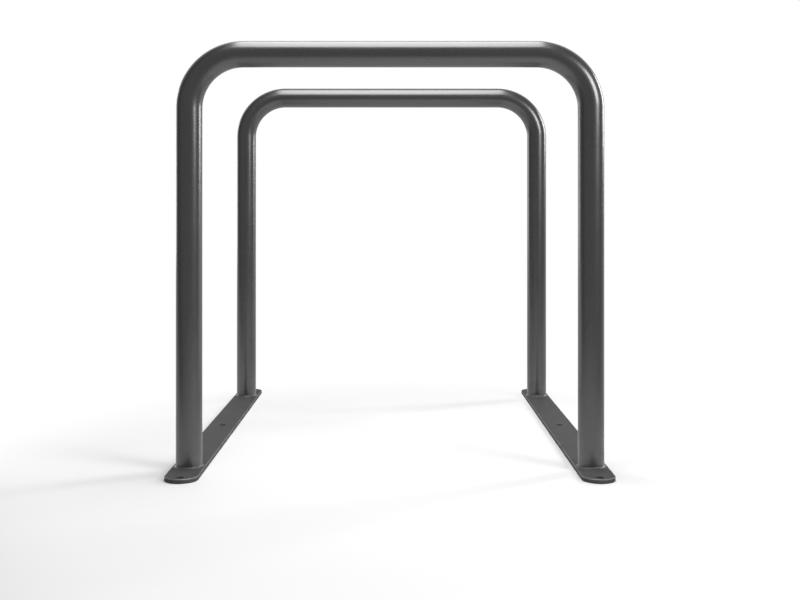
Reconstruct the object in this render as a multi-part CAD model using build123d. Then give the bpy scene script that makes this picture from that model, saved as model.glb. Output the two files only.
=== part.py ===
from build123d import *
from math import sqrt
import os

# Bicycle rack: two bent-tube hoops welded across a pair of flat floor rails.
# Millimetres, Z up, with the origin on the floor at the middle of the footprint.
# X runs across the hoops, and Y from the front hoop to the rear one.

# Overall sizes
WIDTH = 800.0  # over the outer edges of the two rails
HEIGHT = 790.0  # from the floor to the top of the hoops
HOOP_SPACING = 750.0  # between the centre lines of the two hoops

# Floor rails, flat bar with half-round ends
RAIL_WIDTH = 60.0
RAIL_THICKNESS = 8.0
TOE_LENGTH = 100.0  # from the centre line of a hoop to the tip of the rail
RAIL_EDGE_RADIUS = 1.0  # rounding of the bar's upper and lower edges

# Hoop tube
TUBE_DIAMETER = 48.3
TUBE_WALL = 2.6
BEND_RADIUS = 100.0  # on the tube's centre line

# Fillet weld round the foot of each leg
WELD_LEG = 3.5  # along the tube, and along the rail
WELD_HOLLOW = 0.7  # how far its face dips below a straight one

# Holes through the rails
ANCHOR_HOLE_DIAMETER = 14.0  # clears an M12 ground anchor
ANCHOR_TIP_DISTANCE = 15.0  # from the tip of the rail to the centre of its end hole
VENT_DIAMETER = 12.0  # under each leg, where the tube drains

# Places that follow from the sizes
rail_length = HOOP_SPACING + 2 * TOE_LENGTH
rail_x = (WIDTH - RAIL_WIDTH) / 2
hoop_y = HOOP_SPACING / 2
anchor_y = rail_length / 2 - ANCHOR_TIP_DISTANCE
crown_z = HEIGHT - TUBE_DIAMETER / 2
tube_radius = TUBE_DIAMETER / 2

SIDES = {"left": -1, "right": 1}
ENDS = {"front": -1, "rear": 1}


def rail_outline(side):
    """Plan of one rail: a bar along Y whose ends are half circles."""
    return Pos(side * rail_x, 0) * SlotOverall(rail_length, RAIL_WIDTH, rotation=90)


def drill(diameter, x, y):
    """A cylinder that goes right through a rail at X and Y."""
    return Pos(x, y, RAIL_THICKNESS / 2) * Cylinder(diameter / 2, 2 * RAIL_THICKNESS)


def floor_rail(side):
    """Flat bar with rounded edges, three anchor holes and a vent under each leg."""
    bar = extrude(rail_outline(side), RAIL_THICKNESS)
    bar = fillet(bar.edges().filter_by(Axis.Z, reverse=True), RAIL_EDGE_RADIUS)
    x = side * rail_x
    anchors = [drill(ANCHOR_HOLE_DIAMETER, x, y) for y in (-anchor_y, 0, anchor_y)]
    vents = [drill(VENT_DIAMETER, x, end * hoop_y) for end in ENDS.values()]
    return bar - anchors - vents


def hoop(end):
    """One length of tube bent to an upside-down U, standing on both rails."""
    corners = [
        (-rail_x, RAIL_THICKNESS),
        (-rail_x, crown_z),
        (rail_x, crown_z),
        (rail_x, RAIL_THICKNESS),
    ]
    path = Plane.XZ.offset(-end * hoop_y) * FilletPolyline(*corners, radius=BEND_RADIUS)
    ring = Circle(tube_radius) - Circle(tube_radius - TUBE_WALL)
    return sweep(Plane(path @ 0, z_dir=path % 0) * ring, path=path)


def foot_weld(side, end):
    """Hollow-faced fillet all round a leg, held within the edges of the rail."""
    root = (tube_radius, RAIL_THICKNESS)
    on_rail = (tube_radius + WELD_LEG, RAIL_THICKNESS)
    on_tube = (tube_radius, RAIL_THICKNESS + WELD_LEG)
    middle = WELD_LEG / 2 - WELD_HOLLOW / sqrt(2)
    face_middle = (tube_radius + middle, RAIL_THICKNESS + middle)
    edges = Polyline(on_tube, root, on_rail) + ThreePointArc(on_rail, face_middle, on_tube)
    bead = revolve(make_face(Plane.XZ * edges), Axis.Z)
    # The bead starts on the side that faces the middle of the rack.
    start = Rot(0, 0, 180) if side > 0 else Rot(0, 0, 0)
    bead = Pos(side * rail_x, end * hoop_y) * start * bead
    return bead & extrude(rail_outline(side), RAIL_THICKNESS + WELD_LEG)


nodes = {}
for side_name, side in SIDES.items():
    nodes[f"{side_name}_rail"] = floor_rail(side)
for end_name, end in ENDS.items():
    nodes[f"{end_name}_hoop"] = hoop(end)
    for side_name, side in SIDES.items():
        nodes[f"{end_name}_{side_name}_weld"] = foot_weld(side, end)

os.makedirs("parts", exist_ok=True)
for name, solid in nodes.items():
    export_step(solid, f"parts/{name}.step")
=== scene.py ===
import math
import bmesh
import bpy
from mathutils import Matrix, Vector


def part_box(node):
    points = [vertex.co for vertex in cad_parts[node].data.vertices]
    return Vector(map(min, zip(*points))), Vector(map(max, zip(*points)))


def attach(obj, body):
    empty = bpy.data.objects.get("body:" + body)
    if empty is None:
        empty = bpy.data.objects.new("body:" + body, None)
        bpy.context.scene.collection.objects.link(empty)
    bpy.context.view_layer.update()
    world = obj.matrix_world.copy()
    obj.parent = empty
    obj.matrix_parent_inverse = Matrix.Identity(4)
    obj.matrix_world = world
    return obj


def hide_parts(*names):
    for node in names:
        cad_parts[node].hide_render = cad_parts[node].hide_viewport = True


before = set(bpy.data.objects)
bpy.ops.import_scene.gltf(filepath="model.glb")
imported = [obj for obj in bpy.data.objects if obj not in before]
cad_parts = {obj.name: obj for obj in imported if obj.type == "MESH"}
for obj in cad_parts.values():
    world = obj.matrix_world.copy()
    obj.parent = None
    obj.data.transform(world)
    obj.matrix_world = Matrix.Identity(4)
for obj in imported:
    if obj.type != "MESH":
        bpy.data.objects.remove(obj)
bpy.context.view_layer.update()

# Bicycle rack: two bent-tube hoops welded to a pair of flat floor rails, in an anthracite coat.
# Metres, Z up, origin on the floor at the middle of the rack. The front hoop is at low Y.

MM = 0.001
SIDES = {"left": -1, "right": 1}
ENDS = {"front": -1, "rear": 1}

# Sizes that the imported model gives
rail_low, rail_high = (Vector(corner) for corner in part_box("right_rail"))
hoop_low, hoop_high = (Vector(corner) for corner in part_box("rear_hoop"))
RAIL_X = (rail_low.x + rail_high.x) / 2
RAIL_HALF_WIDTH = (rail_high.x - rail_low.x) / 2
RAIL_TIP = rail_high.y
RAIL_STRAIGHT = RAIL_TIP - RAIL_HALF_WIDTH
RAIL_TOP = rail_high.z
HOOP_Y = (hoop_low.y + hoop_high.y) / 2
TUBE_RADIUS = (hoop_high.y - hoop_low.y) / 2
CROWN_Z = hoop_high.z - TUBE_RADIUS

# Sizes of the tube and the bar
TUBE_WALL = 2.6 * MM
BEND_RADIUS = 100 * MM
RAIL_ROUNDING = 1.0 * MM
HOLE_ROUNDING = 0.5 * MM
ANCHOR_RADIUS = 7 * MM
ANCHOR_FROM_TIP = 15 * MM
VENT_RADIUS = 6 * MM

# Sizes of the welds, whose ripples bow like crescents and swell a little from place to place
WELD_REACH = 3.5 * MM
WELD_HOLLOW = 0.7 * MM
WELD_BURIED = 0.05 * MM
RIPPLE_COUNT = 54
RIPPLE_HEIGHT = 0.10 * MM
RIPPLE_BOW = 1.9
SWELL_COUNT = 3
SWELL_START = 0.6
SWELL_SHARE = 0.35

# How finely the meshes are cut
TUBE_FACETS = 96
LEG_STEPS = 12
BEND_STEPS = 28
CROWN_STEPS = 10
RAIL_END_FACETS = 56
HOLE_FACETS = 40
ROUNDING_STEPS = 4
RIPPLE_STEPS = 8
BEAD_STEPS = 12

# Angles in degrees beyond which two faces meet in a crease
TUBE_CREASE = 50
RAIL_CREASE = 60
WELD_CREASE = 60

# Sockets of a Mix node that are for colours
MIX_FACTOR = 0
MIX_FIRST = 6
MIX_SECOND = 7
MIX_RESULT = 2


class Wire:
    """An output in a node tree. Plain maths on it adds the nodes that work it out."""

    def __init__(self, tree, socket=None):
        self.tree = tree
        self.socket = socket

    def node(self, kind, settings=None, inputs=None, out=0):
        """Adds a node: its settings first, then its inputs. Hands back one of its outputs."""
        new = self.tree.nodes.new(kind)
        for name, value in (settings or {}).items():
            setattr(new, name, value)
        for name, value in (inputs or {}).items():
            if isinstance(value, Wire):
                self.tree.links.new(value.socket, new.inputs[name])
            else:
                new.inputs[name].default_value = value
        return Wire(self.tree, new.outputs[out] if new.outputs else None)

    def maths(self, operation, first, second):
        return self.node("ShaderNodeMath", {"operation": operation}, {0: first, 1: second})

    def __add__(self, other):
        return self.maths("ADD", self, other)

    def __radd__(self, other):
        return self.maths("ADD", other, self)

    def __sub__(self, other):
        return self.maths("SUBTRACT", self, other)

    def __rsub__(self, other):
        return self.maths("SUBTRACT", other, self)

    def __mul__(self, other):
        return self.maths("MULTIPLY", self, other)

    def __rmul__(self, other):
        return self.maths("MULTIPLY", other, self)

    def __truediv__(self, other):
        return self.maths("DIVIDE", self, other)

    def __pow__(self, other):
        return self.maths("POWER", self, other)

    def smaller(self, other):
        return self.maths("MINIMUM", self, other)

    def larger(self, other):
        return self.maths("MAXIMUM", self, other)

    def size(self):
        return self.maths("ABSOLUTE", self, 0.0)

    def rise(self, low, high):
        """0 below low, 1 above high, and an easy curve between them."""
        settings = {"interpolation_type": "SMOOTHSTEP", "clamp": True}
        inputs = {"Value": self, "From Min": low, "From Max": high}
        return self.node("ShaderNodeMapRange", settings, inputs)

    def fall(self, low, high):
        """1 below low, 0 above high."""
        return 1 - self.rise(low, high)

    def tint(self, first, second):
        """A colour between two others, as this value goes from 0 to 1."""
        inputs = {MIX_FACTOR: self, MIX_FIRST: first, MIX_SECOND: second}
        return self.node("ShaderNodeMix", {"data_type": "RGBA"}, inputs, out=MIX_RESULT)

    def mix_shaders(self, first, second):
        """A shader between two others, as this value goes from 0 to 1."""
        return self.node("ShaderNodeMixShader", {}, {0: self, 1: first, 2: second})

    def coordinates(self):
        """The X, Y and Z of a vector."""
        split = self.node("ShaderNodeSeparateXYZ", {}, {0: self}).socket.node
        return [Wire(self.tree, output) for output in split.outputs]


def grey(level, warmth=0.0):
    """A near-neutral colour."""
    return (level * (1 + warmth), level, level * (1 - warmth), 1.0)


def new_tree(owner):
    """An empty node tree for a material or the world."""
    owner.use_nodes = True
    owner.node_tree.nodes.clear()
    return Wire(owner.node_tree)


# The coat: the size of its grains, and how much each shows in tone, gloss and relief
FLAKE_GRAIN = 0.7 * MM
FINE_PEEL_GRAIN = 1.6 * MM
BROAD_PEEL_GRAIN = 5.5 * MM
FILM_GRAIN = 90 * MM
GRAIN_MIDDLE = 0.5
FLAKE_TONE = 0.45
FILM_TONE = 0.55
FLAKE_ROUGHNESS = 0.05
FILM_ROUGHNESS = 0.09
FLAKE_RELIEF = 0.05
FINE_PEEL_RELIEF = 0.25
BROAD_PEEL_RELIEF = 0.7
RELIEF_STRENGTH = 0.020
RELIEF_DEPTH = 0.12 * MM
CLEAR_ROUGHNESS = 0.20
CLEAR_IOR = 1.5

# Dust, which lies in clouds and thins out with height
DUST_GRAIN = 22 * MM
DUST_THICK_BELOW = 4 * MM
DUST_GONE_ABOVE = 95 * MM
DUST_CLOUD_THIN = 0.30
DUST_CLOUD_THICK = 0.66
DUST_COLOUR = grey(0.26, warmth=0.05)
DUST_COVER = 0.10
DUST_ROUGHNESS = 0.10
DUST_METAL_LOSS = 0.50

# Rubbed edges, where the coat is thin in patches and shows more metal, with a painted highlight: the
# colour along the rails' rounded upper edge is painted much lighter to stand in for the gleam of the
# lamps on it
WORN_HIGHLIGHT_STARTS_INSIDE = 1.6 * MM
WORN_HIGHLIGHT_FULL_INSIDE = 0.3 * MM
WORN_HIGHLIGHT_STARTS_AT_HEIGHT = 0.70 * RAIL_TOP
WORN_HIGHLIGHT_PATCH_THIN = 0.25
WORN_HIGHLIGHT_PATCH_FULL = 0.55
PAINTED_HIGHLIGHT_COVER = 0.8
PAINTED_HIGHLIGHT_TIMES_LIGHTER = 4.0
RUB_ROUGHNESS_LOSS = 0.28
RUB_METAL = 0.8


def noise(wire, place, grain, detail=2.0, roughness=0.5):
    """Soft noise whose lumps are about one grain across, from 0 to 1."""
    inputs = {"Vector": place, "Scale": 1 / grain, "Detail": detail, "Roughness": roughness}
    return wire.node("ShaderNodeTexNoise", {}, inputs)


def flakes(wire, place, grain):
    """A different level, from 0 to 1, for each flake of the metal effect."""
    inputs = {"Vector": place, "Scale": 1 / grain}
    colour = wire.node("ShaderNodeTexVoronoi", {"feature": "F1"}, inputs, out="Color")
    return wire.node("ShaderNodeSeparateColor", {}, {0: colour}, out="Red")


def anthracite_coat(name, dark, light, metal, roughness, clear, shine, edge_tint, edge_mask=None):
    """Dark metal-effect powder coat: fine flakes, orange peel, and a little dust by the floor."""
    coat = bpy.data.materials.new(name)
    wire = new_tree(coat)
    place = wire.node("ShaderNodeTexCoord", out="Object")
    x, y, z = place.coordinates()

    flake = flakes(wire, place, FLAKE_GRAIN)
    fine_peel = noise(wire, place, FINE_PEEL_GRAIN, detail=1.0)
    broad_peel = noise(wire, place, BROAD_PEEL_GRAIN, detail=1.0)
    film = noise(wire, place, FILM_GRAIN, detail=3.0)
    cloud = noise(wire, place, DUST_GRAIN, detail=4.0, roughness=0.62)
    dust = z.fall(DUST_THICK_BELOW, DUST_GONE_ABOVE) * cloud.rise(DUST_CLOUD_THIN, DUST_CLOUD_THICK)

    tone = flake * FLAKE_TONE + film * FILM_TONE
    colour = tone.tint(grey(dark), grey(light))
    colour = (dust * DUST_COVER).tint(colour, DUST_COLOUR)
    uneven = (film - GRAIN_MIDDLE) * FILM_ROUGHNESS + (flake - GRAIN_MIDDLE) * FLAKE_ROUGHNESS
    rough = roughness + uneven + dust * DUST_ROUGHNESS
    metallic = metal * (1 - dust * DUST_METAL_LOSS)
    if edge_mask is not None:
        # Painted highlight: on the rails' upper edges the colour is painted much lighter; the lower
        # roughness and added metal there are rubbed wear
        rubbed_and_highlit = edge_mask(x, y, z) * cloud.rise(WORN_HIGHLIGHT_PATCH_THIN, WORN_HIGHLIGHT_PATCH_FULL)
        colour = (rubbed_and_highlit * PAINTED_HIGHLIGHT_COVER).tint(colour, grey(light * PAINTED_HIGHLIGHT_TIMES_LIGHTER))
        rough = rough - rubbed_and_highlit * RUB_ROUGHNESS_LOSS
        metallic = metallic + rubbed_and_highlit * RUB_METAL

    relief = broad_peel * BROAD_PEEL_RELIEF + fine_peel * FINE_PEEL_RELIEF + flake * FLAKE_RELIEF
    inputs = {"Strength": RELIEF_STRENGTH, "Distance": RELIEF_DEPTH, "Height": relief}
    normal = wire.node("ShaderNodeBump", {}, inputs)
    inputs = {"Base Color": colour, "Metallic": metallic, "Roughness": rough, "Normal": normal}
    inputs.update({"Coat Weight": clear, "Coat Roughness": CLEAR_ROUGHNESS, "Coat IOR": CLEAR_IOR})
    inputs.update({"Specular IOR Level": shine, "Specular Tint": grey(edge_tint)})
    shader = wire.node("ShaderNodeBsdfPrincipled", {}, inputs)
    wire.node("ShaderNodeOutputMaterial", {}, {"Surface": shader})
    return coat


def rail_edges(x, y, z):
    """1 on the rounded upper edge of a rail, where the coat is rubbed thin and a lighter painted
    highlight goes, and 0 elsewhere.
    """
    along = (y.size() - RAIL_STRAIGHT).larger(0.0)
    across = x.size() - RAIL_X
    reach = (across * across + along * along) ** 0.5
    at_side = reach.rise(RAIL_HALF_WIDTH - WORN_HIGHLIGHT_STARTS_INSIDE, RAIL_HALF_WIDTH - WORN_HIGHLIGHT_FULL_INSIDE)
    return at_side * z.rise(WORN_HIGHLIGHT_STARTS_AT_HEIGHT, RAIL_TOP)


# One coat on all pieces: glossiest on the tube, dull on the rails, between the two on the welds
COATS = {
    "tube_coat": anthracite_coat("tube_anthracite", dark=0.080, light=0.102, metal=0.94, roughness=0.30,
                                 clear=0.6, shine=0.5, edge_tint=0.5),
    "rail_coat": anthracite_coat("rail_anthracite", dark=0.060, light=0.080, metal=0.10, roughness=0.60,
                                 clear=0.0, shine=0.05, edge_tint=0.35, edge_mask=rail_edges),
    "weld_coat": anthracite_coat("weld_anthracite", dark=0.060, light=0.080, metal=0.40, roughness=0.40,
                                 clear=0.3, shine=0.35, edge_tint=0.7),
}


def finish_piece(name, bm, slot, node, crease):
    """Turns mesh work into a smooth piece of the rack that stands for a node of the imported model."""
    bmesh.ops.recalc_face_normals(bm, faces=bm.faces)
    mesh = bpy.data.meshes.new(name)
    bm.to_mesh(mesh)
    bm.free()
    mesh.materials.append(COATS[slot])
    mesh.shade_smooth()
    mesh.set_sharp_from_angle(angle=math.radians(crease))
    piece = bpy.data.objects.new(name, mesh)
    bpy.context.scene.collection.objects.link(piece)
    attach(piece, "root")
    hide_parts(node)
    return piece


def join_rings(bm, first, second):
    """A band of four-sided faces between two closed rings of points."""
    count = len(first)
    for i in range(count):
        j = (i + 1) % count
        bm.faces.new((first[i], first[j], second[j], second[i]))


def straight_run(start, end, outward, steps):
    """Stations along a straight of the hoop: centre X and Z, and which way is outward."""
    (x0, z0), (x1, z1) = start, end
    shares = [i / steps for i in range(steps)]
    return [(x0 + (x1 - x0) * t, z0 + (z1 - z0) * t, outward) for t in shares]


def bend(centre_x, centre_z, start_turn):
    """Stations round a quarter bend. A turn of 0 faces the left, and 90 faces up."""
    stations = []
    for i in range(BEND_STEPS):
        turn = math.radians(start_turn + 90 * i / BEND_STEPS)
        out_x = -math.cos(turn)
        out_z = math.sin(turn)
        x = centre_x + BEND_RADIUS * out_x
        z = centre_z + BEND_RADIUS * out_z
        stations.append((x, z, (out_x, out_z)))
    return stations


def hoop_stations():
    """The centre line of a hoop, from the left foot over the crown to the right foot."""
    bend_x = RAIL_X - BEND_RADIUS
    bend_z = CROWN_Z - BEND_RADIUS
    stations = straight_run((-RAIL_X, RAIL_TOP), (-RAIL_X, bend_z), (-1, 0), LEG_STEPS)
    stations += bend(-bend_x, bend_z, 0)
    stations += straight_run((-bend_x, CROWN_Z), (bend_x, CROWN_Z), (0, 1), CROWN_STEPS)
    stations += bend(bend_x, bend_z, 90)
    stations += straight_run((RAIL_X, bend_z), (RAIL_X, RAIL_TOP), (1, 0), LEG_STEPS)
    stations.append((RAIL_X, RAIL_TOP, (1, 0)))
    return stations


def tube_skin(bm, stations, y, radius):
    """One wall of the tube. Hands back the rings at its two ends."""
    rings = []
    for x, z, (out_x, out_z) in stations:
        ring = []
        for i in range(TUBE_FACETS):
            turn = 2 * math.pi * i / TUBE_FACETS
            out = radius * math.cos(turn)
            ring.append(bm.verts.new((x + out * out_x, y + radius * math.sin(turn), z + out * out_z)))
        rings.append(ring)
    for first, second in zip(rings, rings[1:]):
        join_rings(bm, first, second)
    return rings[0], rings[-1]


def build_hoop(end_name):
    """A hoop of bent tube with its bore, open at both feet."""
    bm = bmesh.new()
    stations = hoop_stations()
    y = ENDS[end_name] * HOOP_Y
    outer_ends = tube_skin(bm, stations, y, TUBE_RADIUS)
    bore_ends = tube_skin(bm, stations, y, TUBE_RADIUS - TUBE_WALL)
    for outer, bore in zip(outer_ends, bore_ends):
        join_rings(bm, outer, bore)
    finish_piece(f"{end_name}_tube_hoop", bm, "tube_coat", f"{end_name}_hoop", TUBE_CREASE)


def rail_loop(inset):
    """Plan of a rail drawn in by an inset: points round the bar, about its own middle."""
    radius = RAIL_HALF_WIDTH - inset
    points = []
    for start_turn, y in ((0, RAIL_STRAIGHT), (180, -RAIL_STRAIGHT)):
        for i in range(RAIL_END_FACETS + 1):
            turn = math.radians(start_turn + 180 * i / RAIL_END_FACETS)
            points.append((radius * math.cos(turn), y + radius * math.sin(turn)))
    return points


def hole_loop(y, radius):
    """Points round a hole on the middle line of a rail."""
    turns = [2 * math.pi * i / HOLE_FACETS for i in range(HOLE_FACETS)]
    return [(radius * math.cos(turn), y + radius * math.sin(turn)) for turn in turns]


def rounded_side(rounding):
    """From the upper face to the lower: how far in from the side, and at what height."""
    upper = []
    for i in range(ROUNDING_STEPS + 1):
        turn = math.radians(90 * i / ROUNDING_STEPS)
        inset = rounding * (1 - math.sin(turn))
        upper.append((inset, RAIL_TOP - rounding * (1 - math.cos(turn))))
    lower = [(inset, RAIL_TOP - z) for inset, z in reversed(upper)]
    return upper + lower


def build_rail(side_name):
    """A flat bar with half-round ends, eased edges, three anchor holes and a vent under each leg."""
    bm = bmesh.new()
    middle_x = SIDES[side_name] * RAIL_X
    anchor_y = RAIL_TIP - ANCHOR_FROM_TIP
    holes = [(y, ANCHOR_RADIUS) for y in (-anchor_y, 0, anchor_y)]
    holes += [(end * HOOP_Y, VENT_RADIUS) for end in ENDS.values()]
    walls = [[(rail_loop(inset), z) for inset, z in rounded_side(RAIL_ROUNDING)]]
    for y, radius in holes:
        walls.append([(hole_loop(y, radius + inset), z) for inset, z in rounded_side(HOLE_ROUNDING)])
    top_edges = []
    bottom_edges = []
    for wall in walls:
        rings = [[bm.verts.new((middle_x + x, y, z)) for x, y in loop] for loop, z in wall]
        for first, second in zip(rings, rings[1:]):
            join_rings(bm, first, second)
        for ring, edges in ((rings[0], top_edges), (rings[-1], bottom_edges)):
            edges += [bm.edges.get((a, b)) for a, b in zip(ring, ring[1:] + ring[:1])]
    for edges in (top_edges, bottom_edges):
        bmesh.ops.triangle_fill(bm, use_beauty=True, use_dissolve=False, edges=edges)
    piece = finish_piece(f"{side_name}_bar_rail", bm, "rail_coat", f"{side_name}_rail", RAIL_CREASE)
    flats = piece.modifiers.new("flat_faces", "WEIGHTED_NORMAL")
    flats.keep_sharp = True


def bead_face(step, turn):
    """A point on the face of a weld: how far out from the tube, and how far up from the rail."""
    t = step / BEAD_STEPS
    lean = math.radians(90 * t)
    bulge = math.sin(math.pi * t)
    sag = bulge * WELD_HOLLOW / math.sqrt(2)
    from_middle = 2 * t - 1
    ripple = math.sin(RIPPLE_COUNT * turn + RIPPLE_BOW * from_middle * from_middle)
    swell = SWELL_SHARE * math.sin(SWELL_COUNT * turn + SWELL_START)
    proud = RIPPLE_HEIGHT * bulge * (ripple + swell)
    out = WELD_REACH * t - sag + proud * math.sin(lean)
    up = WELD_REACH * (1 - t) - sag + proud * math.cos(lean)
    return out, up


def build_weld(end_name, side_name):
    """A rippled fillet weld all round the foot of a leg, let into the tube and the rail a little."""
    bm = bmesh.new()
    count = RIPPLE_COUNT * RIPPLE_STEPS
    columns = []
    for i in range(count):
        turn = 2 * math.pi * i / count
        section = [(-WELD_BURIED, WELD_REACH)]
        section += [bead_face(step, turn) for step in range(BEAD_STEPS + 1)]
        section += [(WELD_REACH, -WELD_BURIED), (-WELD_BURIED, -WELD_BURIED)]
        column = []
        for out, up in section:
            reach = TUBE_RADIUS + out
            x = SIDES[side_name] * RAIL_X + reach * math.cos(turn)
            y = ENDS[end_name] * HOOP_Y + reach * math.sin(turn)
            column.append(bm.verts.new((x, y, RAIL_TOP + up)))
        columns.append(column)
    for first, second in zip(columns, columns[1:] + columns[:1]):
        join_rings(bm, first, second)
    foot = f"{end_name}_{side_name}"
    finish_piece(f"{foot}_weld_bead", bm, "weld_coat", f"{foot}_weld", WELD_CREASE)


for end_name in ENDS:
    build_hoop(end_name)
    for side_name in SIDES:
        build_weld(end_name, side_name)
for side_name in SIDES:
    build_rail(side_name)


# The studio: a pale floor, white behind the rack, a grey room at its sides and ahead, and soft lamps

WHITE = 1.0
ROOM_LEFT = 0.20
ROOM_RIGHT = 0.42
ROOM_FRONT = 0.41
WORLD_FILL = 0.07

# How far a direction points backward where the white and the front of the room begin and are full
WHITE_BEGINS = 0.10
WHITE_FULL = 0.72
FRONT_BEGINS = 0.15
FRONT_FULL = -0.55

# The floor, which keeps the shadows round a point by the front hoop and runs out beyond it
FLOOR_SHADE = 0.93
FLOOR_RADIUS = 60
FLOOR_FACETS = 128
SHADOWS_Y = -0.45
SHADOWS_SIDEWAYS = 1.7
SHADOWS_REACH = 0.65
GONE_BEHIND = 1.15
GONE_AHEAD = 2.0
SURROUND_Y = -1.0
LEAST_DISTANCE = 0.1

SEEN_RAYS = ("Is Camera Ray", "Is Glossy Ray", "Is Transmission Ray")


def seen_directly(wire):
    """1 for what the camera sees, straight or in gloss or glass, and 0 for light that spreads."""
    camera, glossy, through = (wire.node("ShaderNodeLightPath", out=ray) for ray in SEEN_RAYS)
    return (camera + glossy + through).smaller(1.0)


def behind(backward):
    """1 in directions that point behind the rack, easing to 0 at its sides."""
    return backward.rise(WHITE_BEGINS, WHITE_FULL)


def shown_surround(wire, kind, rightward, backward):
    """The surround as it is seen: white behind the rack, and a grey room at its sides and ahead."""
    left, right, front, white = (wire.node(kind, {}, {"Color": grey(1.0), "Strength": level})
                                 for level in (ROOM_LEFT, ROOM_RIGHT, ROOM_FRONT, WHITE))
    sides = (rightward * 0.5 + 0.5).mix_shaders(left, right)
    room = backward.fall(FRONT_FULL, FRONT_BEGINS).mix_shaders(sides, front)
    return behind(backward).mix_shaders(room, white)


def studio_world():
    """The surround in every direction, which also fills the shadows softly."""
    world = bpy.data.worlds.new("studio_surround")
    bpy.context.scene.world = world
    wire = new_tree(world)
    rightward, backward, _ = wire.node("ShaderNodeTexCoord", out="Generated").coordinates()
    soft = wire.node("ShaderNodeBackground", {}, {"Color": grey(1.0), "Strength": WORLD_FILL})
    shown = shown_surround(wire, "ShaderNodeBackground", rightward, backward)
    wire.node("ShaderNodeOutputWorld", {}, {"Surface": seen_directly(wire).mix_shaders(soft, shown)})


def floor_material():
    """A pale matt floor that keeps the shadows near the rack and runs out into the surround."""
    material = bpy.data.materials.new("pale_floor")
    wire = new_tree(material)
    x, y, _ = wire.node("ShaderNodeTexCoord", out="Object").coordinates()
    from_shadows = y - SHADOWS_Y
    from_front = y - SURROUND_Y
    away = (x * x * SHADOWS_SIDEWAYS + from_shadows * from_shadows) ** 0.5
    distance = ((x * x + from_front * from_front) ** 0.5).larger(LEAST_DISTANCE)
    rightward = x / distance
    backward = from_front / distance
    gone = GONE_AHEAD + (GONE_BEHIND - GONE_AHEAD) * behind(backward)
    matt = wire.node("ShaderNodeBsdfDiffuse", {}, {"Color": grey(FLOOR_SHADE)})
    shown = shown_surround(wire, "ShaderNodeEmission", rightward, backward)
    surface = (away.rise(SHADOWS_REACH, gone) * seen_directly(wire)).mix_shaders(matt, shown)
    wire.node("ShaderNodeOutputMaterial", {}, {"Surface": surface})
    return material


def pale_floor():
    """A wide round floor under the rack."""
    bm = bmesh.new()
    bmesh.ops.create_circle(bm, cap_ends=True, segments=FLOOR_FACETS, radius=FLOOR_RADIUS)
    mesh = bpy.data.meshes.new("floor")
    bm.to_mesh(mesh)
    bm.free()
    mesh.materials.append(floor_material())
    floor = bpy.data.objects.new("floor", mesh)
    bpy.context.scene.collection.objects.link(floor)


def softbox(name, width, height, place, target, radiance):
    """A flat soft lamp at a place, facing a target."""
    lamp = bpy.data.lights.new(name, "AREA")
    lamp.shape = "RECTANGLE"
    lamp.size = width
    lamp.size_y = height
    lamp.energy = radiance * math.pi * width * height
    thing = bpy.data.objects.new(name, lamp)
    thing.location = place
    facing = Vector(target) - Vector(place)
    thing.rotation_euler = facing.to_track_quat("-Z", "Y").to_euler()
    thing.visible_camera = False
    bpy.context.scene.collection.objects.link(thing)


studio_world()
pale_floor()
softbox("overhead", width=1.15, height=1.90,
        place=(-0.02, -0.25, 2.07), target=(-0.02, -0.25, 0), radiance=6.03)
softbox("right_front", width=0.85, height=0.90,
        place=(1.90, -1.65, 1.40), target=(0, 0, 0.9), radiance=9.90)
softbox("right_back", width=1.30, height=2.10,
        place=(4.40, 2.20, 1.95), target=(0, 0, 0.9), radiance=12.60)
softbox("left_back", width=2.40, height=2.00,
        place=(-4.00, 4.40, 1.10), target=(0, 0, 0.5), radiance=2.43)


# The camera stands square to the hoops, a little above half their height

PICTURE_WIDTH = 800
PICTURE_HEIGHT = 600
FOCAL_PIXELS = 1057.04
AXIS_PIXEL = (395.22, 211.82)
SENSOR_WIDTH = 36.0
CAMERA_PLACE = (9.48 * MM, -2321.4 * MM, 475.8 * MM)

camera = bpy.data.cameras.new("camera")
camera.sensor_fit = "HORIZONTAL"
camera.sensor_width = SENSOR_WIDTH
camera.lens = SENSOR_WIDTH * FOCAL_PIXELS / PICTURE_WIDTH
camera.shift_x = (PICTURE_WIDTH / 2 - AXIS_PIXEL[0]) / PICTURE_WIDTH
camera.shift_y = (AXIS_PIXEL[1] - PICTURE_HEIGHT / 2) / PICTURE_WIDTH
stand = bpy.data.objects.new("camera", camera)
stand.location = CAMERA_PLACE
stand.rotation_euler = (math.radians(90), 0, 0)
bpy.context.scene.collection.objects.link(stand)
bpy.context.scene.camera = stand
bpy.context.scene.view_settings.view_transform = "Standard"
